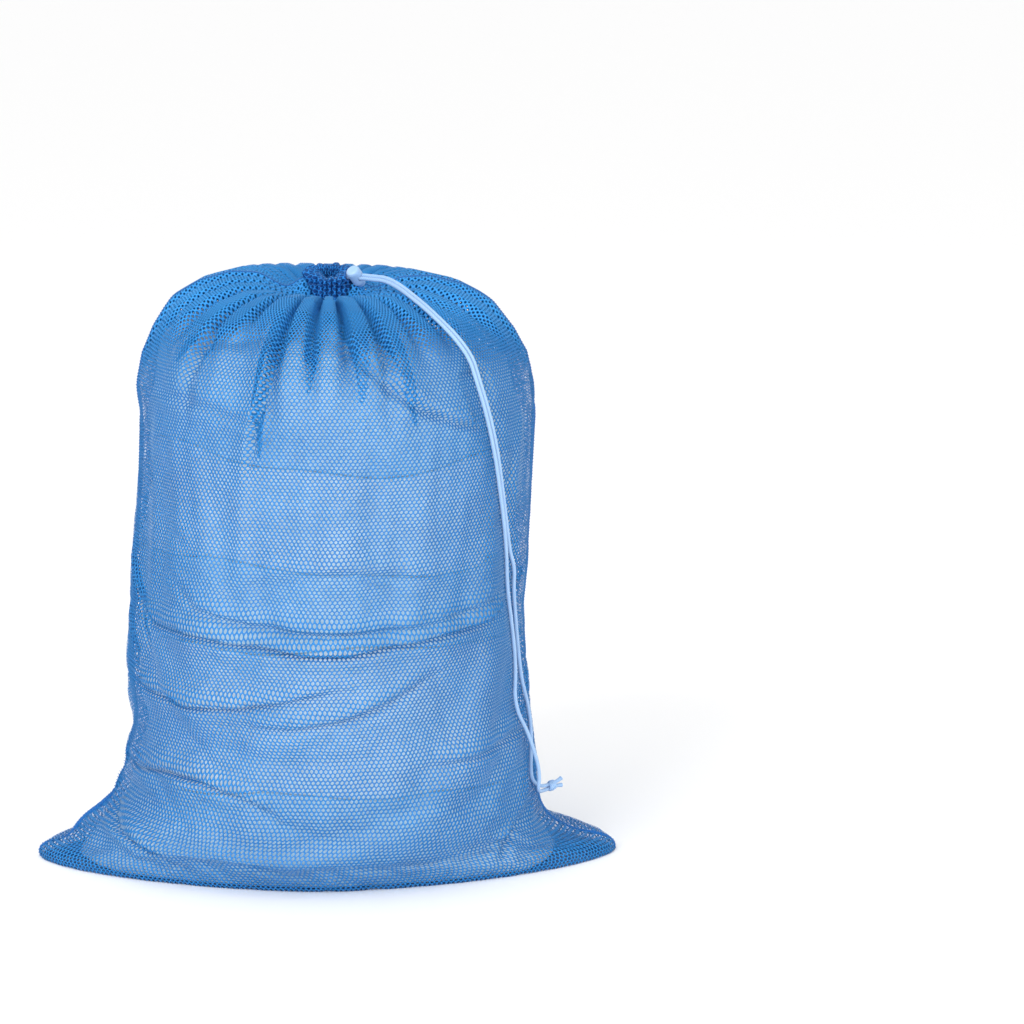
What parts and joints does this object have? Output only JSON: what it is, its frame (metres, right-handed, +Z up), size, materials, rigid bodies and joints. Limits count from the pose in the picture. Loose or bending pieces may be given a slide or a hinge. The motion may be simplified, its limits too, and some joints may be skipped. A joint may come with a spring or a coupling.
{
  "type": "mesh laundry bag",
  "caption": "Blue knitted mesh laundry bag standing full of laundry, its mouth gathered by a pale doubled drawcord with a sprung cord lock and an end knot.",
  "frame": {"origin": "middle of the underside on the floor, under the middle of the bag without its free cord", "axes": "+Z up, the front with the hanging cord at its right faces -Y, +X to the right along the bottom seam"},
  "size_m": [0.57, 0.3838, 0.5877],
  "materials": {
    "mesh": "knitted polyester mesh with hexagonal holes",
    "seam_binding": "overlocked double mesh",
    "thread": "polyester sewing thread",
    "braided_cord": "round braided cord",
    "lock_plastic": "moulded, satin",
    "spring_steel": "drawn wire",
    "laundry": "soft cotton"
  },
  "bodies": {
    "bag": {"back_casing": "mesh", "back_panel": "mesh", "bottom_seam": "seam_binding", "bottom_seam_thread": "thread", "casing_stitching": "thread", "cord_slot_edge": "thread", "drawcord_in_casing": "braided_cord", "drawcord_left_strand": "braided_cord", "drawcord_right_strand": "braided_cord", "end_knot": "braided_cord", "front_casing": "mesh", "front_panel": "mesh", "laundry_bottom": "laundry", "laundry_lower": "laundry", "laundry_middle": "laundry", "laundry_top_back_left": "laundry", "laundry_top_back_right": "laundry", "laundry_top_front_left": "laundry", "laundry_top_front_right": "laundry", "laundry_upper": "laundry", "left_seam_thread": "thread", "left_side_seam": "seam_binding", "lower_cord_tail": "braided_cord", "right_seam_thread": "thread", "right_side_seam": "seam_binding", "upper_cord_tail": "braided_cord"},
    "cord_lock": {"lock_barrel": "lock_plastic", "lock_spring": "spring_steel"},
    "lock_button": {"lock_button": "lock_plastic"}
  },
  "joints": [
    {"name": "cord_lock_slide", "type": "slide", "parent": "bag", "child": "cord_lock", "axis": [0.766, -0.6428, 0], "range_m": [0, 0.012]},
    {"name": "lock_button_press", "type": "slide", "parent": "cord_lock", "child": "lock_button", "axis": [-0.4465, -0.5321, 0.7193], "range_m": [0, 0.0035], "stiffness_N_per_m": 400, "springref_m": -0.002, "deforming": ["lock_spring"]}
  ]
}
